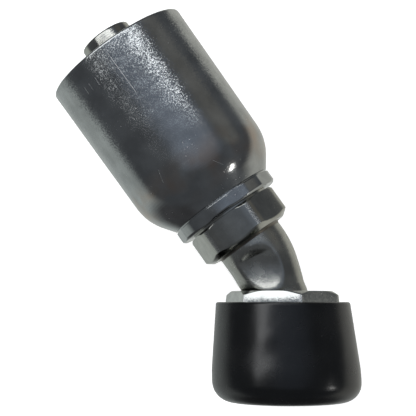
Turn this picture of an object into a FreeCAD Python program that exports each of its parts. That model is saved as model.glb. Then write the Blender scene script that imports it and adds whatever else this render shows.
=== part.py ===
import FreeCAD, Part
import math
import os
from FreeCAD import Placement, Rotation, Vector

# Hydraulic hose end: a crimp fitting for 3/8 inch two-wire hose, with a 35 degree elbow and a
# 37 degree flare swivel nut under a push-on dust cap. Millimetres, +Z up, lying on its side.
# +X is the hose axis, from the shell's mouth (x = 0) towards the elbow. The elbow turns towards -Y
# in the XY plane, so the bend lies flat.

ELBOW_ANGLE = 35.2          # between the hose axis and the swivel axis
SWIVEL_CORNER_X = 50.4      # where the swivel axis meets the hose axis
NUT_BACK = 0.8              # from that corner to the nut's back face, along the swivel axis

# crimp shell
SHELL_MOUTH_R = 13.25
SHELL_NECK_R = 12.85        # at the shoulder
SHOULDER_CORNER_X = 27.7    # where the side and the shoulder's cone would meet
SHOULDER_ROUND = 9.5
SHELL_END_X = 32.1
SHELL_END_R = 9.62
SHELL_RIM_ROUND = 0.4
MOUTH_CHAMFER = 0.5
SOCKET_R = 10.9             # valleys between the gripping teeth
TOOTH_R = 10.3
TOOTH_PITCH = 3.4
TOOTH_COUNT = 7
FIRST_TOOTH_X = 2.4
TOOTH_CREST = 0.7
TOOTH_RISE = 0.56           # axial length of the flank nearer the mouth
TOOTH_FALL = 0.28
SOCKET_END_X = 29.5
SOCKET_END_ROUND = 0.8
COLLAR_R = 9.7
COLLAR_FACET_R = 9.48       # across the marks of the eight staking dies
COLLAR_FACETS = 8
COLLAR_FACET_ANGLE = 52.4
COLLAR_START_X = 32.4
COLLAR_END_X = 34.6
COLLAR_BREAK = 0.1          # broken edge beside the groove
COLLAR_CHAMFER = 0.35
COLLAR_GROOVE_R = 9.2       # thin line between shoulder and collar

# stem: barbed nipple, shoulder inside the shell, wrench hexagon
NIPPLE_TIP_X = -3.8
NIPPLE_R = 4.87
NIPPLE_EDGE_ROUND = 0.8
NIPPLE_LAND = 6.4           # plain length behind the rounded tip
STEM_BORE_R = 2.8
STEM_BORE_CHAMFER = 0.35
BARB_R = 5.02
BARB_ROOT_R = 4.5
BARB_PITCH = 3.4
BARB_COUNT = 6
BARB_FOOT = 0.5             # flat length at the barb's root
BARB_CREST = 0.8            # flat length at the barb's top
FLANGE_R = 8.4              # trapped between the socket's floor and its teeth
FLANGE_WIDTH = 1.6
FLANGE_ROUND = 0.3
STAKE_ROOT_R = 6.9          # bottom of the groove that the collar is staked into
STEM_SEAT_R = 7.6
STAKE_START_X = 32.3
STAKE_END_X = 33.9
STAKE_SLOPE = 0.3           # axial length of the stake groove's sides
HEX_START_X = 35.0
HEX_END_X = 40.5
HEX_ACROSS_FLATS = 15.8
HEX_TURNED_R = 8.62         # corners turned down
HEX_CHAMFER_R = 7.35
HEX_CHAMFER = 0.95          # towards the elbow
HEX_BACK_CHAMFER = 0.4      # towards the collar
HEX_VERTEX_ANGLE = 10.0
HEX_UNDERCUT_R = 7.5        # between the collar and the hexagon

# elbow
NECK_R = 6.03
NECK_MIDBEND_R = 5.97
NECK_PAST_BEND_R = 5.82
NECK_END_R = 5.05
NECK_ROOT = 0.7             # straight round length next to the hexagon
TAPER_SECTIONS = 3          # circles lofted along the taper and along the second bend
ARC_SECTIONS = 4
BEND_KINK_X = 44.0          # where the first, gentle bend turns the neck
FIRST_BEND = 10.5           # degrees
FIRST_BEND_R = 18.0
SECOND_BEND_R = 8.2
SPIGOT_R = 4.4
SPIGOT = 2.2                # length held in each socket
ELBOW_BORE_R = 3.1
FLAT_HEIGHT = 4.95          # pressed flats above and below, from the axis, at their start
FLAT_START_X = 43.7
FLAT_TILT = 9.0             # how the flat sinks towards the nut
FLAT_FOOT = 4.26            # height where the flat meets the ramp back up to the round neck
FLAT_RAMP = 19.0
FLAT_BACK = 3.0             # from the ramp's foot to the nut's back face
DIE_SIZE = 20.0             # of the die that presses a flat
BRAZE_LEG = 0.45
BRAZE_HOLLOW = 0.3          # share of the leg left in the fillet's middle

# swivel end, measured along the swivel axis from the nut's back face
HEAD_END = 9.7
HEAD_R = 6.22
HEAD_BACK_ROUND = 0.5
HEAD_FRONT_ROUND = 0.15
SEAT_MOUTH_R = 5.95
SEAT_HALF_ANGLE = 37.0
WIRE_AT = 5.4
WIRE_R = 0.62
WIRE_RING_R = 6.28
WIRE_GAP_ANGLE = 24.0
WIRE_CLEARANCE = 0.06
FLOAT = 0.25                # axial play of the nut, each way

NUT_LENGTH = 16.9
NUT_ACROSS_FLATS = 17.46    # 11/16 inch
NUT_VERTEX_ANGLE = 12.0
NUT_FLAT_ANGLE = 42.0       # middle of the flat that has the wire hole
NUT_CHAMFER_R = 8.75
NUT_CHAMFER_SLOPE = 30.0
NUT_TURNING = 0.3           # how far the turned blank stands outside the hexagon's corners
NUT_BACK_R = 7.45           # countersink that clears the end of the bend
NUT_BACK_CHAMFER = 2.2
NUT_BORE_R = 6.3
THREAD_RELIEF_R = 7.3
THREAD_RELIEF_START = 9.5
THREAD_RELIEF_END = 10.7
THREAD_MINOR_R = 6.38       # 9/16-18 UNF
THREAD_MOUTH_R = 7.24
THREAD_LEAD_IN = 0.9
WIRE_HOLE_R = 0.8

CAP_MOUTH = 1.9
CAP_END = 19.1
CAP_MOUTH_R = 11.65
CAP_WIDEST_R = 12.95
CAP_WIDEST = 14.0
CAP_SIDE_ROUND = 25.0
CAP_END_R = 12.85
CAP_END_ROUND = 3.4
CAP_RIM_ROUND = 0.4
CAP_BORE_R = 10.2
CAP_GRIP = 5.0              # length that grips the nut's corners
CAP_STEP = 1.5              # axial length of the slope behind the grip
CAP_INNER_R = 10.9
CAP_FLOOR = 17.5
CAP_FLOOR_ROUND = 1.5


def rounded_outline(corners):
    """Closed wire through (along, out, rounding) corners, each rounding a tangent arc."""
    points = [Vector(along, out, 0) for along, out, _ in corners]
    cuts = []
    for i, point in enumerate(points):
        rounding = corners[i][2]
        to_last = (points[i - 1] - point).normalize()
        to_next = (points[(i + 1) % len(points)] - point).normalize()
        half = to_last.getAngle(to_next) / 2
        reach = rounding / math.tan(half)
        inward = (to_last + to_next).normalize() if rounding else Vector()
        middle = point + inward * (rounding / math.sin(half) - rounding)
        cuts.append((point + to_last * reach, middle, point + to_next * reach))
    edges = []
    for i, (start, middle, end) in enumerate(cuts):
        if corners[i][2]:
            edges.append(Part.Arc(start, middle, end).toShape())
        edges.append(Part.makeLine(end, cuts[(i + 1) % len(cuts)][0]))
    return Part.Wire(edges)


def turned(corners):
    """Solid of revolution about the X axis from (along, radius) or (along, radius, rounding) corners."""
    full = [tuple(c) + (0,) * (3 - len(c)) for c in corners]
    face = Part.Face(rounded_outline(full))
    return face.revolve(Vector(0, 0, 0), Vector(1, 0, 0), 360)


def prism(sides, inner_radius, vertex_angle, start, end):
    """Regular prism along X; vertex_angle is one corner's angle from +Y towards +Z."""
    outer = inner_radius / math.cos(math.pi / sides)
    angles = [math.radians(vertex_angle + 360 * i / sides) for i in range(sides + 1)]
    ring = [Vector(start, outer * math.cos(a), outer * math.sin(a)) for a in angles]
    return Part.Face(Part.makePolygon(ring)).extrude(Vector(end - start, 0, 0))


def rod(radius, start, end):
    return Part.makeCylinder(radius, end - start, Vector(start, 0, 0), Vector(1, 0, 0))


def on_swivel(shape):
    """Place a shape made about the X axis on the swivel axis, x = 0 at the nut's back face."""
    along = swivel_direction()
    back = Vector(SWIVEL_CORNER_X, 0, 0) + along * NUT_BACK
    shape.Placement = Placement(back, Rotation(Vector(0, 0, 1), -ELBOW_ANGLE))
    return shape


def swivel_direction(angle=ELBOW_ANGLE):
    return Vector(math.cos(math.radians(angle)), -math.sin(math.radians(angle)), 0)


def stake_groove():
    """Groove in the stem that the collar is squeezed into."""
    return [
        (STAKE_START_X, STEM_SEAT_R),
        (STAKE_START_X + STAKE_SLOPE, STAKE_ROOT_R),
        (STAKE_END_X - STAKE_SLOPE, STAKE_ROOT_R),
        (STAKE_END_X, STEM_SEAT_R),
    ]


def crimp_shell():
    """Outer shell with gripping teeth inside and a collar staked onto the stem."""
    bore = [(0, SOCKET_R + MOUTH_CHAMFER), (MOUTH_CHAMFER, SOCKET_R)]
    for i in range(TOOTH_COUNT):
        x = FIRST_TOOTH_X + i * TOOTH_PITCH
        crest_end = x + TOOTH_RISE + TOOTH_CREST
        bore += [(x, SOCKET_R), (x + TOOTH_RISE, TOOTH_R)]
        bore += [(crest_end, TOOTH_R), (crest_end + TOOTH_FALL, SOCKET_R)]
    floor = [(SOCKET_END_X, SOCKET_R, SOCKET_END_ROUND), (SOCKET_END_X, STEM_SEAT_R)]
    outside = [
        (COLLAR_END_X, STEM_SEAT_R),
        (COLLAR_END_X, COLLAR_R - COLLAR_CHAMFER),
        (COLLAR_END_X - COLLAR_CHAMFER, COLLAR_R),
        (COLLAR_START_X + COLLAR_BREAK, COLLAR_R),
        (COLLAR_START_X, COLLAR_R - COLLAR_BREAK),
        (COLLAR_START_X, COLLAR_GROOVE_R),
        (SHELL_END_X, COLLAR_GROOVE_R),
        (SHELL_END_X, SHELL_END_R),
        (SHOULDER_CORNER_X, SHELL_NECK_R, SHOULDER_ROUND),
        (0, SHELL_MOUTH_R, SHELL_RIM_ROUND),
    ]
    shell = turned(bore + floor + stake_groove() + outside)
    facets = prism(COLLAR_FACETS, COLLAR_FACET_R, COLLAR_FACET_ANGLE, COLLAR_START_X, COLLAR_END_X)
    ring = rod(COLLAR_R + COLLAR_CHAMFER, COLLAR_START_X, COLLAR_END_X).cut(facets)
    return shell.cut(ring)


def stem_nipple():
    """Barbed nipple, shoulder and wrench hexagon, turned from one bar."""
    edge_end = NIPPLE_TIP_X + NIPPLE_EDGE_ROUND
    land_end = edge_end + NIPPLE_LAND
    outside = [(NIPPLE_TIP_X, NIPPLE_R, NIPPLE_EDGE_ROUND), (land_end, NIPPLE_R)]
    for i in range(BARB_COUNT):
        x = land_end + i * BARB_PITCH
        outside += [(x, BARB_ROOT_R), (x + BARB_FOOT, BARB_ROOT_R)]
        outside += [(x + BARB_PITCH - BARB_CREST, BARB_R), (x + BARB_PITCH, BARB_R)]
    outside += [
        (land_end + BARB_COUNT * BARB_PITCH, NIPPLE_R),
        (SOCKET_END_X - FLANGE_WIDTH, NIPPLE_R),
        (SOCKET_END_X - FLANGE_WIDTH, FLANGE_R, FLANGE_ROUND),
        (SOCKET_END_X, FLANGE_R),
        (SOCKET_END_X, STEM_SEAT_R),
    ]
    outside += stake_groove() + [
        (COLLAR_END_X, STEM_SEAT_R),
        (COLLAR_END_X, HEX_UNDERCUT_R),
        (HEX_START_X, HEX_UNDERCUT_R),
    ]
    inside = [
        (HEX_START_X, STEM_BORE_R),
        (NIPPLE_TIP_X + STEM_BORE_CHAMFER, STEM_BORE_R),
        (NIPPLE_TIP_X, STEM_BORE_R + STEM_BORE_CHAMFER),
    ]
    barrel = turned(outside + inside)
    blank = turned([
        (HEX_START_X, STEM_BORE_R),
        (HEX_START_X, HEX_TURNED_R - HEX_BACK_CHAMFER),
        (HEX_START_X + HEX_BACK_CHAMFER, HEX_TURNED_R),
        (HEX_END_X - HEX_CHAMFER, HEX_TURNED_R),
        (HEX_END_X, HEX_CHAMFER_R),
        (HEX_END_X, SPIGOT_R),
        (HEX_END_X - SPIGOT, SPIGOT_R),
        (HEX_END_X - SPIGOT, STEM_BORE_R),
    ])
    hexagon = prism(6, HEX_ACROSS_FLATS / 2, HEX_VERTEX_ANGLE, HEX_START_X, HEX_END_X)
    return barrel.fuse(blank.common(hexagon)).removeSplitter()


def bend_route():
    """Centre line of the elbow: its straight ends and two tangent arcs, as named points."""
    first = swivel_direction(FIRST_BEND)
    last = swivel_direction()
    kink = Vector(BEND_KINK_X, 0, 0)
    to_corner = SWIVEL_CORNER_X - BEND_KINK_X
    turn = math.radians(ELBOW_ANGLE - FIRST_BEND)
    past_corner = to_corner * math.sin(math.radians(FIRST_BEND)) / math.sin(turn)
    second_kink = Vector(SWIVEL_CORNER_X, 0, 0) + last * past_corner
    first_reach = FIRST_BEND_R * math.tan(math.radians(FIRST_BEND) / 2)
    second_reach = SECOND_BEND_R * math.tan(turn / 2)
    return {
        "first_start": kink - Vector(first_reach, 0, 0),
        "first_end": kink + first * first_reach,
        "second_start": second_kink - first * second_reach,
        "second_end": second_kink + last * second_reach,
    }


def arc_point(start, heading, turn, radius):
    """Point after turning clockwise by turn degrees on an arc from start."""
    inward = swivel_direction(heading + 90)
    centre = start + inward * radius
    return centre - swivel_direction(heading + turn + 90) * radius


def ring_wire(centre, heading, radius):
    return Part.Wire(Part.makeCircle(radius, centre, swivel_direction(heading)))


def neck_body():
    """Outer skin of the elbow, tapering from the hexagon to the swivel head."""
    route = bend_route()
    taper_length = (route["second_start"] - route["first_end"]).Length
    root_end = HEX_END_X + NECK_ROOT
    middle = arc_point(route["first_start"], 0, FIRST_BEND / 2, FIRST_BEND_R)
    sections = [
        (Vector(root_end, 0, 0), 0, NECK_R),
        (route["first_start"], 0, NECK_R),
        (middle, FIRST_BEND / 2, NECK_MIDBEND_R),
        (route["first_end"], FIRST_BEND, NECK_PAST_BEND_R),
    ]
    for i in range(1, TAPER_SECTIONS + 1):
        share = i / TAPER_SECTIONS
        centre = route["first_end"] + swivel_direction(FIRST_BEND) * taper_length * share
        radius = NECK_PAST_BEND_R + (NECK_END_R - NECK_PAST_BEND_R) * share
        sections.append((centre, FIRST_BEND, radius))
    for i in range(1, ARC_SECTIONS + 1):
        turn = (ELBOW_ANGLE - FIRST_BEND) * i / ARC_SECTIONS
        centre = arc_point(route["second_start"], FIRST_BEND, turn, SECOND_BEND_R)
        sections.append((centre, FIRST_BEND + turn, NECK_END_R))
    bend = Part.makeLoft([ring_wire(*section) for section in sections], True, False)
    return rod(NECK_R, HEX_END_X, root_end).fuse(bend)


def bend_arc(start, heading, turn, radius):
    middle = arc_point(start, heading, turn / 2, radius)
    return Part.Arc(start, middle, arc_point(start, heading, turn, radius)).toShape()


def bent_rod(radius, before, after):
    """Round rod along the elbow's centre line, reaching before and after its two ends."""
    route = bend_route()
    start = Vector(HEX_END_X - before, 0, 0)
    end = route["second_end"] + swivel_direction() * after
    path = Part.Wire([
        Part.makeLine(start, route["first_start"]),
        bend_arc(route["first_start"], 0, FIRST_BEND, FIRST_BEND_R),
        Part.makeLine(route["first_end"], route["second_start"]),
        bend_arc(route["second_start"], FIRST_BEND, ELBOW_ANGLE - FIRST_BEND, SECOND_BEND_R),
        Part.makeLine(route["second_end"], end),
    ])
    return path.makePipeShell([ring_wire(start, 0, radius)], True, False)


def pressed_flat(side):
    """Die that leaves a sinking flat and its ramp on the neck, level with a flat of the hexagon."""
    block = Part.makeBox(DIE_SIZE, 2 * DIE_SIZE, DIE_SIZE, Vector(0, -DIE_SIZE, 0))
    level = Rotation(Vector(0, 0, 1), -FIRST_BEND)
    sinking = Rotation(Vector(0, 1, 0), FLAT_TILT)
    block.Placement = Placement(Vector(FLAT_START_X, 0, FLAT_HEIGHT), level.multiply(sinking))
    below = Part.makeBox(2 * DIE_SIZE, 4 * DIE_SIZE, DIE_SIZE, Vector(-DIE_SIZE, -2 * DIE_SIZE, -DIE_SIZE))
    below.rotate(Vector(0, 0, 0), Vector(0, 1, 0), -FLAT_RAMP)
    below.translate(Vector(-FLAT_BACK, 0, FLAT_FOOT))
    ramp = Part.Compound([below])       # keeps its tilt when placed as a whole
    block = block.cut(on_swivel(ramp))
    if side < 0:
        block = block.mirror(Vector(0, 0, 0), Vector(0, 0, 1))
    block.rotate(Vector(0, 0, 0), Vector(1, 0, 0), HEX_VERTEX_ANGLE)
    return block


def elbow_tube():
    """Bent neck with a spigot at each end and a pressed flat above and below."""
    tube = neck_body().fuse(bent_rod(SPIGOT_R, SPIGOT, SPIGOT))
    for side in (1, -1):
        tube = tube.cut(pressed_flat(side))
    return tube.cut(bent_rod(ELBOW_BORE_R, SPIGOT, SPIGOT)).removeSplitter()


def seat_head():
    """Swivel head: spigot socket, lock wire groove and the 37 degree seat."""
    socket_end = swivel_arc_end() + SPIGOT
    slope = math.tan(math.radians(SEAT_HALF_ANGLE))
    cone_start = HEAD_END - (SEAT_MOUTH_R - ELBOW_BORE_R) / slope
    half = WIRE_R + FLOAT + WIRE_CLEARANCE
    groove_floor = WIRE_RING_R - WIRE_R - WIRE_CLEARANCE
    return on_swivel(turned([
        (swivel_arc_end(), SPIGOT_R),
        (swivel_arc_end(), HEAD_R, HEAD_BACK_ROUND),
        (WIRE_AT - half, HEAD_R),
        (WIRE_AT - half, groove_floor),
        (WIRE_AT + half, groove_floor),
        (WIRE_AT + half, HEAD_R),
        (HEAD_END, HEAD_R, HEAD_FRONT_ROUND),
        (HEAD_END, SEAT_MOUTH_R),
        (cone_start, ELBOW_BORE_R),
        (socket_end, ELBOW_BORE_R),
        (socket_end, SPIGOT_R),
    ]))


def swivel_arc_end():
    """Where the elbow's second arc ends, along the swivel axis from the nut's back face."""
    corner = Vector(SWIVEL_CORNER_X, 0, 0)
    return (bend_route()["second_end"] - corner).Length - NUT_BACK


def braze_ring_hex():
    """Fillet of braze where the neck meets the hexagon's end."""
    return turned([
        (HEX_END_X, NECK_R),
        (HEX_END_X, NECK_R + BRAZE_LEG),
        (HEX_END_X + BRAZE_HOLLOW * BRAZE_LEG, NECK_R + BRAZE_HOLLOW * BRAZE_LEG),
        (HEX_END_X + BRAZE_LEG, NECK_R),
    ])


def braze_ring_head():
    """Fillet of braze where the neck meets the swivel head's back."""
    start = swivel_arc_end()
    fillet = on_swivel(turned([
        (start, NECK_END_R - BRAZE_LEG),
        (start, NECK_END_R + BRAZE_LEG),
        (start - BRAZE_HOLLOW * BRAZE_LEG, NECK_END_R + BRAZE_HOLLOW * BRAZE_LEG),
        (start - BRAZE_LEG, NECK_END_R),
        (start - BRAZE_LEG, NECK_END_R - BRAZE_LEG),
    ]))
    return fillet.cut(neck_body())


def lock_wire():
    """Open ring of round wire that keeps the nut on the head."""
    circle = Part.makeCircle(WIRE_R, Vector(WIRE_AT, WIRE_RING_R, 0), Vector(0, 0, 1))
    ring = Part.Face(Part.Wire(circle)).revolve(Vector(0, 0, 0), Vector(1, 0, 0), 360 - WIRE_GAP_ANGLE)
    ring.rotate(Vector(0, 0, 0), Vector(1, 0, 0), NUT_FLAT_ANGLE + WIRE_GAP_ANGLE / 2)
    return on_swivel(ring)


def swivel_nut():
    """Hexagon nut: back clearance, plain bore with wire groove, thread relief, minor diameter bore."""
    rise = math.tan(math.radians(NUT_CHAMFER_SLOPE))
    blank_r = NUT_ACROSS_FLATS / 2 / math.cos(math.pi / 6) + NUT_TURNING
    chamfer = (blank_r - NUT_CHAMFER_R) * rise
    blank = turned([
        (0, NUT_BACK_R),
        (0, NUT_CHAMFER_R),
        (chamfer, blank_r),
        (NUT_LENGTH - chamfer, blank_r),
        (NUT_LENGTH, NUT_CHAMFER_R),
        (NUT_LENGTH, THREAD_MOUTH_R),
        (NUT_LENGTH - THREAD_LEAD_IN, THREAD_MINOR_R),
        (THREAD_RELIEF_END, THREAD_MINOR_R),
        (THREAD_RELIEF_END, THREAD_RELIEF_R),
        (THREAD_RELIEF_START, THREAD_RELIEF_R),
        (THREAD_RELIEF_START, NUT_BORE_R),
        (NUT_BACK_CHAMFER, NUT_BORE_R),
    ])
    nut = blank.common(prism(6, NUT_ACROSS_FLATS / 2, NUT_VERTEX_ANGLE, 0, NUT_LENGTH))
    groove = Part.makeTorus(WIRE_RING_R, WIRE_R + WIRE_CLEARANCE, Vector(WIRE_AT, 0, 0), Vector(1, 0, 0))
    wire_hole = Part.makeCylinder(WIRE_HOLE_R, NUT_ACROSS_FLATS, Vector(WIRE_AT, 0, 0), Vector(0, 1, 0))
    wire_hole.rotate(Vector(0, 0, 0), Vector(1, 0, 0), NUT_FLAT_ANGLE)
    return on_swivel(nut.cut(groove).cut(wire_hole))


def dust_cap():
    """Push-on cap: narrow mouth, wider towards its closed end, gripping the nut's corners."""
    return on_swivel(turned([
        (CAP_FLOOR, 0),
        (CAP_FLOOR, CAP_INNER_R, CAP_FLOOR_ROUND),
        (CAP_MOUTH + CAP_GRIP + CAP_STEP, CAP_INNER_R),
        (CAP_MOUTH + CAP_GRIP, CAP_BORE_R),
        (CAP_MOUTH, CAP_BORE_R, CAP_RIM_ROUND),
        (CAP_MOUTH, CAP_MOUTH_R, CAP_RIM_ROUND),
        (CAP_WIDEST, CAP_WIDEST_R, CAP_SIDE_ROUND),
        (CAP_END, CAP_END_R, CAP_END_ROUND),
        (CAP_END, 0),
    ]))


def write(node, shape):
    solids = shape.Solids
    if len(solids) != 1 or not shape.isValid():
        raise ValueError(f"{node}: {len(solids)} solids, valid {shape.isValid()}")
    solids[0].exportStep(f"parts/{node}.step")


os.makedirs("parts", exist_ok=True)
for make in (
    crimp_shell, stem_nipple, elbow_tube, seat_head, braze_ring_hex,
    braze_ring_head, lock_wire, swivel_nut, dust_cap,
):
    write(make.__name__, make())
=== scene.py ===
import math

import bmesh
import bpy
import numpy as np
from mathutils import Matrix, Vector


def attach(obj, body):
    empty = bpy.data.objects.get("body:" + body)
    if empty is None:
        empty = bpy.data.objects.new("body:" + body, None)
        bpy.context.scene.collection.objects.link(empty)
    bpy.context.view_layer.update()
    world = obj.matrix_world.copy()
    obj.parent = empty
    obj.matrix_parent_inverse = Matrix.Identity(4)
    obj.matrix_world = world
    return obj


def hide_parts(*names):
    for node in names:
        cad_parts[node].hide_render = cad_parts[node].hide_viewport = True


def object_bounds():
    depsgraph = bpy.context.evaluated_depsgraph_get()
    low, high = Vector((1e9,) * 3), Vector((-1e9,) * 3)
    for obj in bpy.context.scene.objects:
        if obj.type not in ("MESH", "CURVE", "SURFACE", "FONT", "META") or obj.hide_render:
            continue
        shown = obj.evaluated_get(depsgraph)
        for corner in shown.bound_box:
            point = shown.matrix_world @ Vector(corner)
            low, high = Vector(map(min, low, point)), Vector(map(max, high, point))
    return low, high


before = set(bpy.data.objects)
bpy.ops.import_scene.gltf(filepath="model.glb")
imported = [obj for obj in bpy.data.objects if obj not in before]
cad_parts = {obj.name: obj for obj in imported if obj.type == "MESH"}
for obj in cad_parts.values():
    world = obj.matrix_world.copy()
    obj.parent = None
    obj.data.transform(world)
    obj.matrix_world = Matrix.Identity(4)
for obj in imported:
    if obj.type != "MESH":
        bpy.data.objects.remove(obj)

cad_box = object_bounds()

# Sizes are in millimetres and become metres when a mesh is made.
MM = 0.001

# frame: +X is the hose axis from the shell's mouth, the elbow turns towards -Y
ELBOW_ANGLE = math.radians(35.2)
SWIVEL_CORNER_X = 50.4
NUT_BACK = 0.8

# crimp shell
SHELL_MOUTH_R = 13.25
SHELL_NECK_R = 12.85
SHOULDER_CORNER_X = 27.7
SHOULDER_ROUND = 9.5
SHELL_END_X = 32.1
SHELL_END_R = 9.62
SHELL_RIM_ROUND = 0.4
MOUTH_CHAMFER = 0.5
SOCKET_R = 10.9
TOOTH_R = 10.3
TOOTH_PITCH = 3.4
TOOTH_COUNT = 7
FIRST_TOOTH_X = 2.4
TOOTH_RISE = 0.56
TOOTH_CREST = 0.7
TOOTH_FALL = 0.28
SOCKET_END_X = 29.5
COLLAR_R = 9.7
COLLAR_FACET_R = 9.48
COLLAR_FACETS = 8
COLLAR_FACET_ANGLE = math.radians(52.4)
COLLAR_START_X = 32.4
COLLAR_END_X = 34.6
COLLAR_CHAMFER = 0.35
COLLAR_BREAK = 0.1
COLLAR_EDGE_BLEND = 0.06
COLLAR_GROOVE_R = 9.2

# stem
NIPPLE_TIP_X = -3.8
NIPPLE_R = 4.87
NIPPLE_EDGE_ROUND = 0.8
NIPPLE_TIP_ROUND = 0.4
NIPPLE_TAPER = 0.17         # narrowing of the nipple's radius from the shell's mouth to its tip
NIPPLE_LAND = 6.4
STEM_BORE_R = 2.8
BORE_CHAMFER = 0.35
BARB_R = 5.02
BARB_ROOT_R = 4.5
BARB_PITCH = 3.4
BARB_COUNT = 6
BARB_FOOT = 0.5             # from the start of each barb: end of its root, start of its crest
BARB_CREST = 2.6
FLANGE_R = 8.4
FLANGE_LENGTH = 1.6
STEM_SEAT_R = 7.6
HEX_START_X = 35.0
HEX_END_X = 40.5
HEX_FLAT_R = 7.9
HEX_TURNED_R = 8.62
HEX_CHAMFER_R = 7.35
HEX_CHAMFER = 0.95
HEX_BREAK = 0.35
HEX_VERTEX_ANGLE = math.radians(10)
HEX_UNDERCUT_R = 7.5
HEX_CROWN = 0.18            # fall of a flat from its middle to its corners
HEX_EDGE_BLEND = 0.3

# elbow
NECK_R = 6.03
NECK_END_R = 5.05
NECK_TAPER_POWER = 1.75
BEND_KINK_X = 44.0
FIRST_BEND = math.radians(10.5)
FIRST_BEND_R = 18.0
SECOND_BEND_R = 8.2
SPIGOT = 2.2
SPIGOT_R = 4.4
ELBOW_BORE_R = 3.1
FLAT_HEIGHT = 4.95
FLAT_START_X = 43.7
FLAT_SLOPE = math.tan(math.radians(9))
FLAT_FOOT = 4.26
RAMP_SLOPE = math.tan(math.radians(19))
FLAT_BACK = 3.0
FLAT_LEAD = 1.9             # length over which the tube sinks towards its flats
FLAT_LEAD_POWER = 1.3
FLAT_EDGE_BLEND = 0.25
RAMP_BLEND = 1.3
BRAZE_LEG = 0.45
BRAZE_ROOT = 0.05           # depth to which the fillet goes into the neck

# swivel end, along the swivel axis from the nut's back face
HEAD_END = 9.7
HEAD_R = 6.22
SEAT_MOUTH_R = 5.95
SEAT_SLOPE = math.tan(math.radians(37))
WIRE_AT = 5.4
WIRE_R = 0.62
WIRE_RING_R = 6.28
WIRE_GAP = math.radians(24)
WIRE_PLAY = 0.06
WIRE_FLOAT = 0.25           # play along the axis each way
WIRE_HOLE_R = 0.8
NUT_LENGTH = 16.9
NUT_FLAT_R = 8.73
NUT_VERTEX_ANGLE = math.radians(12)
NUT_FLAT_ANGLE = NUT_VERTEX_ANGLE + math.radians(30)
NUT_TURNING = 0.3           # by how much the blank stands over the hexagon's corners
NUT_CHAMFER_R = 8.75
NUT_CHAMFER_SLOPE = math.radians(30)
NUT_CROWN = 0.3             # fall of the flats towards the back face
NUT_CROWN_LENGTH = 2.3
NUT_EDGE_BLEND = 0.1
NUT_BACK_R = 7.45
NUT_BACK_CHAMFER = 2.2
NUT_BORE_R = 6.3
RELIEF_R = 7.3
RELIEF_START = 9.5
RELIEF_END = 10.7
THREAD_MINOR_R = 6.38
THREAD_MAJOR_R = 7.14
THREAD_MOUTH_R = 7.24
THREAD_LEAD_IN = 0.9
THREAD_PITCH = 1.411
THREAD_CREST = 0.25         # shares of the pitch: flat crest, both flanks
THREAD_FLANKS = 0.625
CAP_MOUTH = 1.9
CAP_END = 19.1
CAP_MOUTH_R = 11.65
CAP_WIDEST_R = 12.95
CAP_WIDEST = 14.0
CAP_END_R = 12.85
CAP_BORE_R = 10.2
CAP_INNER_R = 10.9
CAP_GRIP = 5.0
CAP_STEP = 1.5
CAP_FLOOR = 17.5
CAP_LEAN = 0.044            # the soft cap sits a little askew
CAP_SHIFT = 0.15
CAP_RIDGE = 0.16            # soft ridge where a corner of the nut stretches the cap
CAP_RIDGE_ANGLE = math.radians(104)
CAP_RIDGE_WIDTH = math.radians(13)
CAP_RIDGE_FADE = 4.0
CAP_RIDGE_INNER_R = 11.0    # inside this radius the cap is left alone

AROUND = 240                # faces around a turned piece
EDGE = 0.07                 # rounding of an edge that is sharp to the touch
TOUCH = 0.01                # lets a face at a limit count as past it


def direction(angle):
    """Unit vector in the bend plane, turned by angle from +X towards -Y."""
    return np.array((math.cos(angle), -math.sin(angle), 0.0))


def swivel_matrix():
    """Places a mesh made about its own X axis on the swivel axis."""
    back = np.array((SWIVEL_CORNER_X, 0, 0)) + direction(ELBOW_ANGLE) * NUT_BACK
    return Matrix.Translation(Vector(back * MM)) @ Matrix.Rotation(-ELBOW_ANGLE, 4, "Z")


# ---------------------------------------------------------------- meshes

def outline(corners, step=0.5, closed=True):
    """Points of an outline through (along, radius[, rounding]) corners, evenly divided."""
    corners = [tuple(c) + (EDGE,) * (3 - len(c)) for c in corners]
    count = len(corners)
    points = []
    for i, (along, out, rounding) in enumerate(corners):
        here = np.array((along, out), float)
        if not closed and i in (0, count - 1):
            points.append(here[None])
            continue
        back = np.array(corners[i - 1][:2]) - here
        ahead = np.array(corners[(i + 1) % count][:2]) - here
        room = 0.42 * min(np.hypot(*back), np.hypot(*ahead))
        back /= np.hypot(*back)
        ahead /= np.hypot(*ahead)
        half = math.acos(np.clip(back @ ahead, -1, 1)) / 2
        reach = min(rounding / math.tan(half), room if rounding <= EDGE else math.inf)
        radius = reach * math.tan(half)
        middle = back + ahead
        centre = here + middle / np.hypot(*middle) * radius / math.sin(half)
        turn = math.pi - 2 * half
        parts = max(2, math.ceil(turn / math.radians(15)), math.ceil(turn * radius / step))
        first = here + back * reach - centre
        last = here + ahead * reach - centre
        share = np.linspace(0, 1, parts + 1)[:, None]
        arc = np.sin((1 - share) * turn) * first + np.sin(share * turn) * last
        points.append(centre + arc / math.sin(turn))
    line = np.concatenate(points)
    if closed:
        line = np.concatenate((line, line[:1]))
    return divided(line, step)[:-1] if closed else divided(line, step)


def divided(line, step):
    """A polyline with holding points beside its corners and no stretch longer than step."""
    hold = 0.1
    pieces = []
    for start, end in zip(line[:-1], line[1:]):
        length = np.hypot(*(end - start))
        if length > 3 * hold:
            parts = max(1, math.ceil((length - 2 * hold) / step))
            shares = np.concatenate(([0], np.linspace(hold, length - hold, parts + 1) / length))
        else:
            shares = np.array([0.0])
        pieces.append(start + (end - start) * shares[:, None])
    pieces.append(line[-1:])
    return np.concatenate(pieces)


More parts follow.
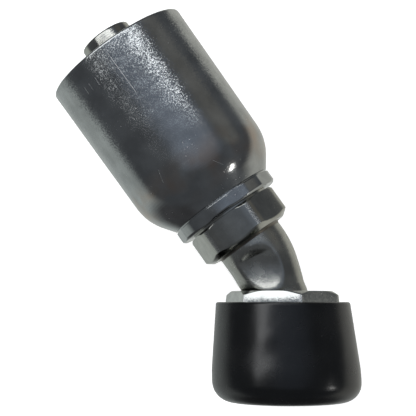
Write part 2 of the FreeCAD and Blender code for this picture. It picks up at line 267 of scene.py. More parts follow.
def mesh_object(name, points, faces, matrix=None):
    mesh = bpy.data.meshes.new(name)
    mesh.from_pydata((np.asarray(points) * MM).tolist(), [], faces)
    work = bmesh.new()
    work.from_mesh(mesh)
    bmesh.ops.remove_doubles(work, verts=work.verts, dist=1e-7)
    bmesh.ops.recalc_face_normals(work, faces=work.faces)
    work.to_mesh(mesh)
    work.free()
    mesh.shade_smooth()
    piece = bpy.data.objects.new(name, mesh)
    bpy.context.scene.collection.objects.link(piece)
    if matrix:
        piece.matrix_world = matrix
    return piece


def grid_faces(rows, around, closed):
    """Quads of a rows by around grid, closed around and, for a ring, closed along its rows too."""
    faces = []
    for i in range(rows if closed else rows - 1):
        here = i * around
        there = (i + 1) % rows * around
        for j in range(around):
            k = (j + 1) % around
            faces.append((here + j, here + k, there + k, there + j))
    return faces


def turned(name, line, shape=None, around=AROUND, closed=True, matrix=None):
    """Turned piece from an outline; shape(along, out, angle) may change it round the axis."""
    angle = np.linspace(0, 2 * math.pi, around, endpoint=False)[None]
    along = np.repeat(line[:, :1], around, 1)
    out = np.repeat(line[:, 1:], around, 1)
    if shape:
        along, out = shape(along, out, angle)
    points = np.stack((along, out * np.cos(angle), out * np.sin(angle)), -1).reshape(-1, 3)
    return mesh_object(name, points, grid_faces(len(line), around, closed), matrix)


def soft_min(a, b, blend):
    share = np.clip(0.5 + 0.5 * (b - a) / blend, 0, 1)
    return b * (1 - share) + a * share - blend * share * (1 - share)


def prism_radius(angle, sides, inner, vertex_angle):
    """Radius of a regular prism's side at an angle, one of its corners at vertex_angle."""
    sector = 2 * math.pi / sides
    offset = (angle - vertex_angle) % sector - sector / 2
    return inner / np.cos(offset)


def ease(value):
    share = np.clip(value, 0, 1)
    return share * share * (3 - 2 * share)


# ---------------------------------------------------------------- pieces

def make_shell():
    corners = [(0, SOCKET_R + MOUTH_CHAMFER), (MOUTH_CHAMFER, SOCKET_R)]
    for i in range(TOOTH_COUNT):
        x = FIRST_TOOTH_X + i * TOOTH_PITCH
        crest_end = x + TOOTH_RISE + TOOTH_CREST
        corners += [(x, SOCKET_R), (x + TOOTH_RISE, TOOTH_R)]
        corners += [(crest_end, TOOTH_R), (crest_end + TOOTH_FALL, SOCKET_R)]
    corners += [
        (SOCKET_END_X, SOCKET_R, 0.8),
        (SOCKET_END_X, STEM_SEAT_R),
        (COLLAR_END_X, STEM_SEAT_R),
        (COLLAR_END_X, COLLAR_R - COLLAR_CHAMFER, 0.1),
        (COLLAR_END_X - COLLAR_CHAMFER, COLLAR_R, 0.2),
        (COLLAR_START_X + COLLAR_BREAK, COLLAR_R, 0.1),
        (COLLAR_START_X, COLLAR_R - COLLAR_BREAK, 0.1),
        (COLLAR_START_X, COLLAR_GROOVE_R),
        (SHELL_END_X, COLLAR_GROOVE_R),
        (SHELL_END_X, SHELL_END_R, 0.12),
        (SHOULDER_CORNER_X, SHELL_NECK_R, SHOULDER_ROUND),
        (0, SHELL_MOUTH_R, SHELL_RIM_ROUND),
    ]

    def staked(along, out, angle):
        facet = prism_radius(angle, COLLAR_FACETS, COLLAR_FACET_R, COLLAR_FACET_ANGLE)
        on_collar = (along > COLLAR_START_X - TOUCH) & (out > COLLAR_GROOVE_R)
        return along, np.where(on_collar, soft_min(out, facet, COLLAR_EDGE_BLEND), out)

    return turned("crimp_shell_body", outline(corners), staked, around=288)


def make_stem():
    edge_end = NIPPLE_TIP_X + NIPPLE_EDGE_ROUND
    land_end = edge_end + NIPPLE_LAND
    corners = [
        (NIPPLE_TIP_X, STEM_BORE_R + BORE_CHAMFER, 0.15),
        (NIPPLE_TIP_X, NIPPLE_R - NIPPLE_TAPER, NIPPLE_TIP_ROUND),
        (0, NIPPLE_R),
        (land_end, NIPPLE_R),
    ]
    for i in range(BARB_COUNT):
        x = land_end + i * BARB_PITCH
        corners += [(x, BARB_ROOT_R), (x + BARB_FOOT, BARB_ROOT_R)]
        corners += [(x + BARB_CREST, BARB_R), (x + BARB_PITCH, BARB_R)]
    corners += [
        (land_end + BARB_COUNT * BARB_PITCH, NIPPLE_R),
        (SOCKET_END_X - FLANGE_LENGTH, NIPPLE_R, 0.2),
        (SOCKET_END_X - FLANGE_LENGTH, FLANGE_R, 0.3),
        (SOCKET_END_X, FLANGE_R),
        (SOCKET_END_X, STEM_SEAT_R),
        (COLLAR_END_X, STEM_SEAT_R),
        (COLLAR_END_X, HEX_UNDERCUT_R),
        (HEX_START_X, HEX_UNDERCUT_R),
        (HEX_START_X, HEX_TURNED_R - HEX_BREAK, 0.1),
        (HEX_START_X + HEX_BREAK, HEX_TURNED_R, 0.15),
        (HEX_END_X - HEX_CHAMFER, HEX_TURNED_R, 0.1),
        (HEX_END_X, HEX_CHAMFER_R, 0.3),
        (HEX_END_X, SPIGOT_R),
        (HEX_END_X - SPIGOT, SPIGOT_R),
        (HEX_END_X - SPIGOT, STEM_BORE_R),
        (NIPPLE_TIP_X + BORE_CHAMFER, STEM_BORE_R, 0.15),
    ]

    def hexagon(along, out, angle):
        flat = prism_radius(angle, 6, HEX_FLAT_R, HEX_VERTEX_ANGLE)
        flat = flat - HEX_CROWN * 3 * ((flat / HEX_FLAT_R) ** 2 - 1)
        on_hexagon = along > HEX_START_X - TOUCH
        return along, np.where(on_hexagon, soft_min(out, flat, HEX_EDGE_BLEND), out)

    return turned("stem_body", outline(corners, 0.2), hexagon, around=288)


def route_lengths():
    """Lengths of the stretches of the elbow's centre line, from the hexagon's end face on."""
    turn = ELBOW_ANGLE - FIRST_BEND
    past_corner = (SWIVEL_CORNER_X - BEND_KINK_X) * math.sin(FIRST_BEND) / math.sin(turn)
    kink = np.array((BEND_KINK_X, 0, 0))
    second_kink = np.array((SWIVEL_CORNER_X, 0, 0)) + direction(ELBOW_ANGLE) * past_corner
    first_reach = FIRST_BEND_R * math.tan(FIRST_BEND / 2)
    second_reach = SECOND_BEND_R * math.tan(turn / 2)
    return {
        "root": BEND_KINK_X - first_reach - HEX_END_X,
        "first": FIRST_BEND * FIRST_BEND_R,
        "taper": np.linalg.norm(second_kink - kink) - first_reach - second_reach,
        "second": turn * SECOND_BEND_R,
    }


def route_point(distance, lengths):
    """Centre and heading at a distance from the hexagon's end face."""
    centre = np.array((HEX_END_X, 0.0, 0.0))
    heading = 0.0
    for length, radius in (
        (lengths["root"], None),
        (lengths["first"], FIRST_BEND_R),
        (lengths["taper"], None),
        (lengths["second"], SECOND_BEND_R),
        (math.inf, None),
    ):
        step = min(distance, length)
        if radius:
            inward = direction(heading + math.pi / 2)
            turn = step / radius
            centre = centre + inward * radius - direction(heading + turn + math.pi / 2) * radius
            heading += turn
        else:
            centre = centre + direction(heading) * step
        distance -= step
        if distance <= 0:
            break
    return centre, heading


def neck_radius(distance, lengths):
    """Radius of the bent neck, tapering from the first bend to the second."""
    start = lengths["root"]
    span = lengths["first"] + lengths["taper"]
    share = min(max((distance - start) / span, 0), 1)
    return NECK_R - (NECK_R - NECK_END_R) * share ** NECK_TAPER_POWER


def make_elbow():
    """Bent neck with its bore, pressed flat above and below between two tilted dies."""
    lengths = route_lengths()
    total = sum(lengths.values())
    stations = [(-SPIGOT, SPIGOT_R), (0.0, SPIGOT_R)]
    stations += [(along, neck_radius(along, lengths)) for along in np.linspace(0, total, 90)]
    stations += [(total, SPIGOT_R), (total + SPIGOT, SPIGOT_R)]
    stations += [(along, ELBOW_BORE_R) for along in np.linspace(total + SPIGOT, -SPIGOT, 40)]
    around = 192
    angle = np.linspace(0, 2 * math.pi, around, endpoint=False)
    start = np.array((FLAT_START_X, 0, 0))
    nut_back = np.array((SWIVEL_CORNER_X, 0, 0)) + direction(ELBOW_ANGLE) * NUT_BACK
    press = np.array((0, -math.sin(HEX_VERTEX_ANGLE), math.cos(HEX_VERTEX_ANGLE)))
    points = []
    for distance, radius in stations:
        centre, heading = route_point(distance, lengths)
        side = -direction(heading + math.pi / 2)
        up = np.array((0, 0, 1.0))
        ring = centre + radius * (np.cos(angle)[:, None] * side + np.sin(angle)[:, None] * up)
        if radius > SPIGOT_R:
            after = (ring - start) @ direction(FIRST_BEND)
            past = FLAT_BACK - (nut_back - ring) @ direction(ELBOW_ANGLE)
            flat = FLAT_SLOPE * after - FLAT_HEIGHT
            ramp = -FLAT_FOOT - RAMP_SLOPE * past
            die = -soft_min(flat, ramp, RAMP_BLEND)
            rise = (ring - centre) @ press
            sunk = np.clip(1 + after / FLAT_LEAD, 0, 1) ** FLAT_LEAD_POWER
            pressed = soft_min(np.abs(rise), die, FLAT_EDGE_BLEND)
            moved = np.sign(rise) * (pressed - np.abs(rise)) * sunk
            ring = ring + moved[:, None] * press
        points.append(ring)
    faces = grid_faces(len(stations), around, True)
    return mesh_object("elbow_body", np.concatenate(points), faces)


def make_head():
    lengths = route_lengths()
    bend_end = route_point(sum(lengths.values()), lengths)[0]
    start = np.linalg.norm(bend_end - np.array((SWIVEL_CORNER_X, 0, 0))) - NUT_BACK
    half = WIRE_R + WIRE_FLOAT + WIRE_PLAY
    floor = WIRE_RING_R - WIRE_R - WIRE_PLAY
    cone_start = HEAD_END - (SEAT_MOUTH_R - ELBOW_BORE_R) / SEAT_SLOPE
    line = outline([
        (start, SPIGOT_R),
        (start, HEAD_R, 0.5),
        (WIRE_AT - half, HEAD_R),
        (WIRE_AT - half, floor),
        (WIRE_AT + half, floor),
        (WIRE_AT + half, HEAD_R),
        (HEAD_END, HEAD_R, 0.15),
        (HEAD_END, SEAT_MOUTH_R),
        (cone_start, ELBOW_BORE_R),
        (start + SPIGOT, ELBOW_BORE_R),
        (start + SPIGOT, SPIGOT_R),
    ], 0.3)
    return turned("seat_head_body", line, around=160, matrix=swivel_matrix())


def make_braze_hex():
    """Concave fillet between the neck and the hexagon's end."""
    bow = np.linspace(0, math.pi / 2, 8)
    hollow = BRAZE_LEG * (1 - np.stack((np.sin(bow), np.cos(bow)), -1))
    line = np.concatenate(((HEX_END_X, NECK_R) + hollow, [(HEX_END_X, NECK_R - BRAZE_ROOT)]))
    return turned("braze_fillet", line, around=160)


def make_wire():
    around, turns = 16, 120
    sweep = np.linspace(WIRE_GAP, 2 * math.pi, turns) + NUT_FLAT_ANGLE - WIRE_GAP / 2
    ring = np.linspace(0, 2 * math.pi, around, endpoint=False)
    points = []
    for at in sweep:
        out = WIRE_RING_R + WIRE_R * np.cos(ring)
        along = WIRE_AT + WIRE_R * np.sin(ring)
        points.append(np.stack((along, out * math.cos(at), out * math.sin(at)), -1))
    faces = grid_faces(turns, around, False)
    faces.append(tuple(range(around)))
    faces.append(tuple(reversed(range((turns - 1) * around, turns * around))))
    return mesh_object("lock_wire_ring", np.concatenate(points), faces, swivel_matrix())


def make_nut():
    rise = math.tan(NUT_CHAMFER_SLOPE)
    corner = NUT_FLAT_R / math.cos(math.pi / 6) + NUT_TURNING
    chamfer = (corner - NUT_CHAMFER_R) * rise
    wire_room = WIRE_R + WIRE_PLAY
    groove = [(WIRE_AT + wire_room * math.cos(at), WIRE_RING_R + wire_room * math.sin(at))
              for at in np.linspace(0.05, math.pi - 0.05, 9)]
    line = outline([
        (0, NUT_BACK_R, 0.15),
        (0, NUT_CHAMFER_R, 0.5),
        (chamfer, corner),
        (NUT_LENGTH - chamfer, corner),
        (NUT_LENGTH, NUT_CHAMFER_R, 0.12),
        (NUT_LENGTH, THREAD_MOUTH_R),
        (NUT_LENGTH - THREAD_LEAD_IN, THREAD_MINOR_R),
        (RELIEF_END, THREAD_MINOR_R),
        (RELIEF_END, RELIEF_R, 0.1),
        (RELIEF_START, RELIEF_R, 0.1),
        (RELIEF_START, NUT_BORE_R),
        *groove,
        (NUT_BACK_CHAMFER, NUT_BORE_R, 0.1),
    ], 0.12)

    def hexagon_and_thread(along, out, angle):
        worn = NUT_CROWN * np.clip(1 - along / NUT_CROWN_LENGTH, 0, 1) ** 2
        flat = prism_radius(angle, 6, NUT_FLAT_R, NUT_VERTEX_ANGLE) - worn
        hexed = soft_min(out, flat, NUT_EDGE_BLEND)
        turn = (along / THREAD_PITCH - angle / (2 * math.pi)) % 1
        ridge = np.clip((np.abs(turn - 0.5) * 2 - THREAD_CREST) / THREAD_FLANKS, 0, 1)
        cut = THREAD_MINOR_R + (THREAD_MAJOR_R - THREAD_MINOR_R) * ridge
        threaded = (along > RELIEF_END - TOUCH) & (out < THREAD_MAJOR_R)
        return along, np.where(threaded, np.maximum(out, cut), hexed)

    nut = turned("swivel_nut_body", line, hexagon_and_thread, around=216, matrix=swivel_matrix())
    drill_wire_hole(nut)
    return nut


def drill_wire_hole(nut):
    """Cuts the hole through one flat that the lock wire is fed in by."""
    around = 48
    ring = np.linspace(0, 2 * math.pi, around, endpoint=False)
    along = WIRE_AT + WIRE_HOLE_R * np.cos(ring)
    across = WIRE_HOLE_R * np.sin(ring)
    ends = [np.stack((along, np.full(around, out), across), -1)
            for out in (NUT_BORE_R - 1, NUT_FLAT_R + 1)]
    faces = grid_faces(2, around, False)
    faces += [tuple(range(around)), tuple(reversed(range(around, 2 * around)))]
    place = swivel_matrix() @ Matrix.Rotation(NUT_FLAT_ANGLE, 4, "X")
    drill = mesh_object("drill", np.concatenate(ends), faces, place)
    cut = nut.modifiers.new("wire_hole", "BOOLEAN")
    cut.object = drill
    cut.solver = "EXACT"
    bpy.context.view_layer.update()
    drilled = nut.evaluated_get(bpy.context.evaluated_depsgraph_get())
    nut.data = bpy.data.meshes.new_from_object(drilled)
    nut.data.set_sharp_from_angle(angle=math.radians(40))
    nut.modifiers.clear()
    bpy.data.objects.remove(drill)


def make_cap():
    line = outline([
        (CAP_FLOOR, 0),
        (CAP_FLOOR, CAP_INNER_R, 1.5),
        (CAP_MOUTH + CAP_GRIP + CAP_STEP, CAP_INNER_R, 0.5),
        (CAP_MOUTH + CAP_GRIP, CAP_BORE_R, 0.5),
        (CAP_MOUTH, CAP_BORE_R, 0.3),
        (CAP_MOUTH, CAP_MOUTH_R, 0.4),
        (CAP_WIDEST, CAP_WIDEST_R, 25),
        (CAP_END, CAP_END_R, 3.4),
        (CAP_END, 0),
    ], 0.4, closed=False)

    def ridged(along, out, angle):
        off = (angle - CAP_RIDGE_ANGLE) / CAP_RIDGE_WIDTH
        reach = 1 - ease((along - CAP_MOUTH - CAP_GRIP) / CAP_RIDGE_FADE)
        return along, out + CAP_RIDGE * np.exp(-off * off) * reach * (out > CAP_RIDGE_INNER_R)

    cap = turned("dust_cap_body", line, ridged, around=224, closed=False, matrix=swivel_matrix())
    for corner in cap.data.vertices:
        corner.co.y += CAP_SHIFT * MM + CAP_LEAN * (corner.co.x - CAP_MOUTH * MM)
    return cap


# ---------------------------------------------------------------- materials

def material(name):
    made = bpy.data.materials.new(name)
    made.use_nodes = True
    return made, made.node_tree, made.node_tree.nodes["Principled BSDF"]


def add(tree, kind, **settings):
    node = tree.nodes.new(kind)
    for key, value in settings.items():
        if key in node.inputs:
            node.inputs[key].default_value = value
        else:
            setattr(node, key, value)
    return node


def noise(tree, where, scale, detail=2.0, roughness=0.5, stretch=(1, 1, 1)):
    mapping = add(tree, "ShaderNodeMapping", Scale=stretch)
    tree.links.new(where, mapping.inputs["Vector"])
    made = add(tree, "ShaderNodeTexNoise", Scale=scale, Detail=detail, Roughness=roughness)
    tree.links.new(mapping.outputs[0], made.inputs["Vector"])
    return made.outputs["Fac"]


def spread(tree, value, low, high, to_low=0.0, to_high=1.0):
    """Maps low..high to to_low..to_high and holds its ends."""
    made = add(tree, "ShaderNodeMapRange")
    limits = {"From Min": low, "From Max": high, "To Min": to_low, "To Max": to_high}
    for key, number in limits.items():
        made.inputs[key].default_value = number
    tree.links.new(value, made.inputs["Value"])
    return made.outputs[0]


def calc(tree, operation, a, b):
    made = add(tree, "ShaderNodeMath", operation=operation)
    for socket, value in zip(made.inputs, (a, b)):
        if isinstance(value, (int, float)):
            socket.default_value = value
        else:
            tree.links.new(value, socket)
    return made.outputs[0]


def mixed(tree, share, a, b):
    made = add(tree, "ShaderNodeMix", data_type="RGBA")
    for socket, value in ((made.inputs[6], a), (made.inputs[7], b)):
        if isinstance(value, tuple):
            socket.default_value = value + (1,)
        else:
            tree.links.new(value, socket)
    if isinstance(share, (int, float)):
        made.inputs[0].default_value = share
    else:
        tree.links.new(share, made.inputs[0])
    return made.outputs[2]


def bumped(tree, shader, layers, last=None):
    """Chains (height, strength, distance in mm) bumps into the shader, on a normal if given."""
    for height, strength, distance in layers:
        made = add(tree, "ShaderNodeBump", Strength=strength, Distance=distance * MM)
        tree.links.new(height, made.inputs["Height"])
        if last:
            tree.links.new(last, made.inputs["Normal"])
        last = made.outputs[0]
    tree.links.new(last, shader.inputs["Normal"])


def glitter(tree, where, grain, tilt, smooth_from=None):
    """The surface normal, tilted at random in each grain; grain in mm, tilt in radians."""
    cells = add(tree, "ShaderNodeTexVoronoi", Scale=1 / (grain * MM))
    tree.links.new(where, cells.inputs["Vector"])
    centred = add(tree, "ShaderNodeVectorMath", operation="SUBTRACT")
    centred.inputs[1].default_value = (0.5,) * 3
    tree.links.new(cells.outputs["Color"], centred.inputs[0])
    lean = add(tree, "ShaderNodeVectorMath", operation="SCALE", Scale=2 * tilt)
    tree.links.new(centred.outputs[0], lean.inputs[0])
    if smooth_from:
        split = add(tree, "ShaderNodeSeparateXYZ")
        tree.links.new(where, split.inputs[0])
        start, end = smooth_from
        fading = spread(tree, split.outputs["X"], start * MM, end * MM, 2 * tilt, 0.2 * tilt)
        tree.links.new(fading, lean.inputs["Scale"])
    leant = add(tree, "ShaderNodeVectorMath", operation="ADD")
    tree.links.new(lean.outputs[0], leant.inputs[0])
    tree.links.new(add(tree, "ShaderNodeNewGeometry").outputs["Normal"], leant.inputs[1])
    made = add(tree, "ShaderNodeVectorMath", operation="NORMALIZE")
    tree.links.new(leant.outputs[0], made.inputs[0])
    return made.outputs[0]


COOL_ZINC = (0.39, 0.402, 0.40)
WARM_ZINC = (0.40, 0.40, 0.37)
BRIGHT_ZINC = (0.46, 0.47, 0.45)
BARE_STEEL = (0.66, 0.66, 0.65)
BROWN_ZINC = (0.40, 0.345, 0.30)
BLACK_VINYL = (0.001, 0.0013, 0.0015)
HAZY_VINYL = (0.003, 0.0034, 0.0038)
DUST_GREY = (0.04, 0.04, 0.038)

# noise scales, in cells per metre
CLOUDS = 260
FINE_GRAIN = 7000
SPECKS = 2900
SPECK_PATCHES = 150
TINT_PATCHES = 190
LATHE_RINGS = 6500
VINYL_HAZE = 160
VINYL_PORES = 3800
VINYL_DUST = 2600
VINYL_WAVES = 210
WIRE_DRAWING = 2500
BRAZE_CLOUDS = 900
PAPER_FIBRES = 900

# in mm
GLITTER_GRAIN = 0.13
SHELL_GLITTER_FADE = (14, 25)
SHELL_TINT_BAND = (22, 31)
STEM_WORN_R = (8.56, 8.61)
NUT_WORN_R = (9.6, 9.9)

# scratches on the shell's top in mm: start, end, half-width
TICKS = [(3.7, y, 5.3, y - 0.05, 0.05) for y in (-8.0, -7.0, -5.6, -4.1)]
SCRATCHES = [
    (1.2, -1.5, 10.5, -1.4, 0.03),
    (22.5, -5.8, 25.0, -6.4, 0.06),
    (26.6, 2.4, 28.4, 3.6, 0.06),
]


def zinc(name, tone=COOL_ZINC, rough=0.16, peel=0.8, rings=0.0, scratch=0.5, sparkle=0.03,
         smooth_from=None, tint=None, marks=(), corners=None):
    """Bright zinc plate on steel: glittering grain, lathe rings, scratches and worn corners.

    In mm: smooth_from is where along X the grain fades, tint a brown band's (start, end, colour),
    marks are scratches for nick, and corners the radii between which the plate is rubbed bare.
    """
    made, tree, shader = material(name)
    where = add(tree, "ShaderNodeTexCoord").outputs["Object"]
    cloud = noise(tree, where, CLOUDS, 3.0)
    fine = noise(tree, where, FINE_GRAIN, 2.0, 0.6)
    dark = tuple(c * 0.84 for c in tone)
    light = tuple(min(1, c * 1.12) for c in tone)
    colour = mixed(tree, spread(tree, cloud, 0.35, 0.65), dark, light)
    if tint:
        start, end, brown = tint
        split = add(tree, "ShaderNodeSeparateXYZ")
        tree.links.new(where, split.inputs[0])
        middle, half = (start + end) / 2 * MM, (end - start) / 2 * MM
        off = calc(tree, "ABSOLUTE", calc(tree, "SUBTRACT", split.outputs["X"], middle), 0)
        band = spread(tree, off, half, 0.3 * half)
        patch = spread(tree, noise(tree, where, TINT_PATCHES, 2.0), 0.38, 0.6)
        colour = mixed(tree, calc(tree, "MULTIPLY", band, patch), colour, brown)
    speck = spread(tree, noise(tree, where, SPECKS, 1.0, 0.5), 0.735, 0.775)
    patch = spread(tree, noise(tree, where, SPECK_PATCHES, 1.0), 0.5, 0.65)
    worn = calc(tree, "MULTIPLY", speck, patch)
    for mark in marks:
        worn = calc(tree, "MAXIMUM", worn, nick(tree, where, *mark))
    if corners:
        flat = add(tree, "ShaderNodeVectorMath", operation="MULTIPLY")
        flat.inputs[1].default_value = (0, 1, 1)
        tree.links.new(where, flat.inputs[0])
        out = add(tree, "ShaderNodeVectorMath", operation="LENGTH")
        tree.links.new(flat.outputs[0], out.inputs[0])
        rubbed = spread(tree, out.outputs["Value"], corners[0] * MM, corners[1] * MM)
        rubbed = calc(tree, "MULTIPLY", rubbed, spread(tree, fine, 0.3, 0.6))
        worn = calc(tree, "MAXIMUM", worn, rubbed)
    colour = mixed(tree, calc(tree, "MULTIPLY", worn, scratch), colour, BARE_STEEL)
    tree.links.new(colour, shader.inputs["Base Color"])
    shader.inputs["Metallic"].default_value = 1.0
    blur = spread(tree, cloud, 0.3, 0.7, rough * 0.85, rough * 1.2)
    blur = calc(tree, "ADD", blur, calc(tree, "MULTIPLY", worn, 0.2))
    tree.links.new(blur, shader.inputs["Roughness"])
    layers = [(fine, peel, 0.006), (worn, 0.8 * scratch, -0.02)]
    if rings:
        turning = noise(tree, where, LATHE_RINGS, 1.0, 0.5, (1, 0.02, 0.02))
        layers.append((turning, rings, 0.01))
    bumped(tree, shader, layers, glitter(tree, where, GLITTER_GRAIN, sparkle, smooth_from))
    return made


def nick(tree, where, x, y, end_x, end_y, half_width):
    """Mask of a straight scratch between two points, in mm, seen from above."""
    split = add(tree, "ShaderNodeSeparateXYZ")
    tree.links.new(where, split.inputs[0])
    length = math.hypot(end_x - x, end_y - y)
    cos, sin = (end_x - x) / length, (end_y - y) / length
    run_x = calc(tree, "SUBTRACT", split.outputs["X"], x * MM)
    run_y = calc(tree, "SUBTRACT", split.outputs["Y"], y * MM)
    along = calc(tree, "ADD", calc(tree, "MULTIPLY", run_x, cos),
                 calc(tree, "MULTIPLY", run_y, sin))
    beside = calc(tree, "SUBTRACT", calc(tree, "MULTIPLY", run_y, cos),
                  calc(tree, "MULTIPLY", run_x, sin))
    beyond = calc(tree, "ABSOLUTE", calc(tree, "SUBTRACT", along, length / 2 * MM), 0)
    ends = spread(tree, beyond, length / 2 * MM, length * 0.4 * MM)
    beside = calc(tree, "ABSOLUTE", beside, 0)
    side = spread(tree, beside, half_width * MM, 0.3 * half_width * MM)
    top = spread(tree, split.outputs["Z"], 0, 1 * MM)
    return calc(tree, "MULTIPLY", calc(tree, "MULTIPLY", ends, side), top)


def vinyl(name):
    """Satin black moulded vinyl, with a fine haze, dust specks and shallow handling marks."""
    made, tree, shader = material(name)
    where = add(tree, "ShaderNodeTexCoord").outputs["Object"]
    haze = noise(tree, where, VINYL_HAZE, 4.0, 0.6)
    pores = noise(tree, where, VINYL_PORES, 2.0, 0.6)
    dust = spread(tree, noise(tree, where, VINYL_DUST, 1.0, 0.4), 0.77, 0.82)
    black = mixed(tree, spread(tree, haze, 0.35, 0.7), BLACK_VINYL, HAZY_VINYL)
    tree.links.new(mixed(tree, dust, black, DUST_GREY), shader.inputs["Base Color"])
    tree.links.new(spread(tree, haze, 0.3, 0.7, 0.22, 0.3), shader.inputs["Roughness"])
    shader.inputs["IOR"].default_value = 1.58
    wave = noise(tree, where, VINYL_WAVES, 1.0)
    bumped(tree, shader, [(wave, 0.35, 0.25), (pores, 0.35, 0.01)])
    return made


def wire_steel(name):
    made, tree, shader = material(name)
    where = add(tree, "ShaderNodeTexCoord").outputs["Object"]
    drawn = noise(tree, where, WIRE_DRAWING, 2.0)
    colour = mixed(tree, drawn, (0.16, 0.16, 0.16), (0.32, 0.31, 0.3))
    tree.links.new(colour, shader.inputs["Base Color"])
    tree.links.new(spread(tree, drawn, 0.3, 0.7, 0.25, 0.42), shader.inputs["Roughness"])
    shader.inputs["Metallic"].default_value = 1.0
    bumped(tree, shader, [(drawn, 0.4, 0.01)])
    return made


def braze_and_painted_shade(name):
    made, tree, shader = material(name)
    where = add(tree, "ShaderNodeTexCoord").outputs["Object"]
    cloud = noise(tree, where, BRAZE_CLOUDS, 3.0)
    # brazing metal's own tone, darkened further as painted shade for the corner where the fillet
    # meets the hexagon's end
    colour = mixed(tree, cloud, (0.15, 0.13, 0.105), (0.25, 0.235, 0.21))
    tree.links.new(colour, shader.inputs["Base Color"])
    tree.links.new(spread(tree, cloud, 0.3, 0.7, 0.28, 0.42), shader.inputs["Roughness"])
    shader.inputs["Metallic"].default_value = 1.0
    bumped(tree, shader, [(cloud, 0.5, 0.05)])
    return made


def dress(piece, made, body, slot, *nodes):
    piece.data.materials.clear()
    piece.data.materials.append(made)
    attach(piece, body)
    if nodes:
        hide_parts(*nodes)


def build():
    shell_zinc = zinc("zinc_shell", peel=0.15, scratch=0.7, sparkle=0.07,
                      smooth_from=SHELL_GLITTER_FADE, tint=(*SHELL_TINT_BAND, BROWN_ZINC),
                      marks=TICKS + SCRATCHES)
    dress(make_shell(), shell_zinc, "fitting_body", "plated_shell", "crimp_shell")
    stem_zinc = zinc("zinc_stem", tone=WARM_ZINC, rough=0.14, peel=0.4, rings=0.5, sparkle=0.015,
                     corners=STEM_WORN_R)
    dress(make_stem(), stem_zinc, "fitting_body", "plated_stem", "stem_nipple")
    elbow_zinc = zinc("zinc_elbow", tone=WARM_ZINC, rough=0.25, peel=0.9, scratch=1.0)
    dress(make_elbow(), elbow_zinc, "fitting_body", "plated_elbow", "elbow_tube")
    head_zinc = zinc("zinc_head", rough=0.13, peel=0.2, rings=0.4, sparkle=0.01)
    dress(make_head(), head_zinc, "fitting_body", "plated_head", "seat_head")
    # braze fillets: brazing metal's tone, darkened with painted shade where they sit in corners
    braze = braze_and_painted_shade("braze_and_painted_shade")
    dress(make_braze_hex(), braze, "fitting_body", "braze", "braze_ring_hex")
    head_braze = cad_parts["braze_ring_head"]
    head_braze.data.materials.clear()
    head_braze.data.materials.append(braze)
    dress(make_wire(), wire_steel("wire_steel"), "wire_ring", "spring_wire", "lock_wire")
    nut_zinc = zinc("zinc_nut", tone=BRIGHT_ZINC, rough=0.15, peel=0.4, rings=0.4,
                    corners=NUT_WORN_R)
    dress(make_nut(), nut_zinc, "nut", "plated_nut", "swivel_nut")
    dress(make_cap(), vinyl("cap_vinyl"), "cap", "cap_vinyl", "dust_cap")


# ---------------------------------------------------------------- stage, light and camera

FLOOR_Z = cad_box[0][2]
VIEW_CENTRE = Vector((31.75, -2.6, 0)) * MM
CAMERA_AT = Vector((49.7, -5.4, 220)) * MM
FIELD = math.radians(18.77)
PICTURE_UP = -Vector(direction(ELBOW_ANGLE))
LIGHT_HEIGHT = 0.7
WINDOW_RADIANCE = 2.3
SIDE_WINDOW_RADIANCE = 3.5
DAYLIGHT = (0.97, 0.985, 1.0)
LAMP_SIDE = (0.73, 0.60, 0.33)
LAMP_DISTANCE = 0.5
LAMP_SIZE = (0.08, 0.045)
LAMP_POWER = 0.11
LAMPLIGHT = (1, 0.99, 0.97)
FILL_HEIGHT = 0.9
FILL_SIZE = (1.6, 1.6)
FILL_POWER = 4.0
PAPER_DARK = (0.86, 0.86, 0.85)
PAPER_PALE = (0.88, 0.88, 0.87)
ROOM = (0.110, 0.117, 0.128)
GLOW = (0.25, 0.285, 0.35)
GLOW_SIDE = (-0.35, 0.3, 1)     # where the cool part of the room is
GLOW_SPAN = (0.72, 0.95)        # cosines to it, from the room's own tone to the full glow
WARM = (0.2, 0.198, 0.19)
WARM_SIDE = (-0.1, 0.95, 0.31)
WARM_SPAN = (0.94, 0.99)
TABLE_RIGHT = (0.60, 0.60, 0.56)
TABLE_LEFT = (0.55, 0.59, 0.58)
TABLE_SIDE = (0.3, -0.17, -1)
TABLE_SPAN = (0.11, 0.33)
SHADE = (0.08, 0.08, 0.085)     # the part of the table beyond the cap
SHADE_SIDE = (0.82, -0.57, -0.2)
SHADE_SPAN = (0.6, 0.85)


def make_floor():
    mesh = bpy.data.meshes.new("floor")
    half = 2.5
    corners = [(x * half, y * half, FLOOR_Z) for x, y in ((-1, -1), (1, -1), (1, 1), (-1, 1))]
    mesh.from_pydata(corners, [], [(0, 1, 2, 3)])
    floor = bpy.data.objects.new("floor", mesh)
    bpy.context.scene.collection.objects.link(floor)
    made, tree, shader = material("paper")
    where = add(tree, "ShaderNodeTexCoord").outputs["Object"]
    colour = mixed(tree, noise(tree, where, PAPER_FIBRES, 2.0), PAPER_DARK, PAPER_PALE)
    tree.links.new(colour, shader.inputs["Base Color"])
    shader.inputs["Roughness"].default_value = 0.9
    shader.inputs["Specular IOR Level"].default_value = 0.1
    shader.inputs["Emission Color"].default_value = (1, 1, 1, 1)
    shader.inputs["Emission Strength"].default_value = 0.8
    mesh.materials.append(made)
    floor.visible_glossy = False


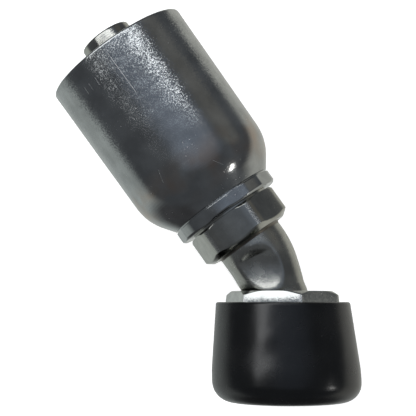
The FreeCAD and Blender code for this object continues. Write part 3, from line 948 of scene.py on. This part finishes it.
def make_world():
    """Dim room with a cool and a warm glow, over the pale table that the metal mirrors."""
    world = bpy.data.worlds.new("room")
    bpy.context.scene.world = world
    world.use_nodes = True
    tree = world.node_tree
    where = add(tree, "ShaderNodeTexCoord").outputs["Generated"]
    glow = spread(tree, facing(tree, where, GLOW_SIDE), *GLOW_SPAN)
    warm = spread(tree, facing(tree, where, WARM_SIDE), *WARM_SPAN)
    left = spread(tree, facing(tree, where, (0, -1, 0)), -0.5, 0.5)
    shade = spread(tree, facing(tree, where, SHADE_SIDE), *SHADE_SPAN)
    below = spread(tree, facing(tree, where, TABLE_SIDE), *TABLE_SPAN)
    room = mixed(tree, warm, mixed(tree, glow, ROOM, GLOW), WARM)
    table = mixed(tree, shade, mixed(tree, left, TABLE_RIGHT, TABLE_LEFT), SHADE)
    colour = mixed(tree, below, room, table)
    seen = add(tree, "ShaderNodeLightPath").outputs["Is Camera Ray"]
    colour = mixed(tree, seen, colour, (1.0, 1.0, 1.0))
    tree.links.new(colour, tree.nodes["Background"].inputs["Color"])


def facing(tree, where, side):
    made = add(tree, "ShaderNodeVectorMath", operation="DOT_PRODUCT")
    made.inputs[1].default_value = Vector(side).normalized()
    tree.links.new(where, made.inputs[0])
    return made.outputs["Value"]


def area_light(name, place, target, size, power, glossy=True, colour=(1, 1, 1)):
    light = bpy.data.lights.new(name, "AREA")
    light.shape = "RECTANGLE"
    light.size, light.size_y = size
    light.energy = power
    light.color = colour
    lamp = bpy.data.objects.new(name, light)
    bpy.context.scene.collection.objects.link(lamp)
    lamp.location = place
    lamp.rotation_euler = (Vector(place) - Vector(target)).to_track_quat("Z", "Y").to_euler()
    lamp.visible_glossy = glossy
    lamp.visible_camera = False
    return lamp


def overhead(name, along, across, turn, size, radiance):
    """Level soft light; its place and size are shares of its height over the object."""
    place = VIEW_CENTRE + Vector((along, across, 1)) * LIGHT_HEIGHT
    length, width = size
    power = radiance * math.pi * length * width * LIGHT_HEIGHT * LIGHT_HEIGHT
    light = area_light(name, place, place - Vector((0, 0, 1)),
                       (length * LIGHT_HEIGHT, width * LIGHT_HEIGHT), power, colour=DAYLIGHT)
    light.rotation_euler = (0, 0, turn)


def make_lights():
    overhead("window", along=-0.82, across=-0.15, turn=math.radians(-5), size=(0.85, 1.41),
             radiance=WINDOW_RADIANCE)
    overhead("side_window", along=-0.38, across=0.78, turn=0, size=(0.14, 0.52),
             radiance=SIDE_WINDOW_RADIANCE)
    lamp_at = VIEW_CENTRE + Vector(LAMP_SIDE) * LAMP_DISTANCE
    area_light("lamp", lamp_at, VIEW_CENTRE, LAMP_SIZE, LAMP_POWER, colour=LAMPLIGHT)
    fill_at = VIEW_CENTRE + Vector((0, 0, FILL_HEIGHT))
    area_light("fill", fill_at, VIEW_CENTRE, FILL_SIZE, FILL_POWER, glossy=False)


def make_camera():
    data = bpy.data.cameras.new("camera")
    data.angle = FIELD
    data.clip_start = 0.01
    camera = bpy.data.objects.new("camera", data)
    bpy.context.scene.collection.objects.link(camera)
    back = (CAMERA_AT - VIEW_CENTRE).normalized()
    right = PICTURE_UP.cross(back).normalized()
    up = back.cross(right)
    turn = Matrix((right, up, back)).transposed().to_4x4()
    camera.matrix_world = Matrix.Translation(CAMERA_AT) @ turn
    bpy.context.scene.camera = camera


build()
make_floor()
make_world()
make_lights()
make_camera()
bpy.context.scene.view_settings.view_transform = "Standard"
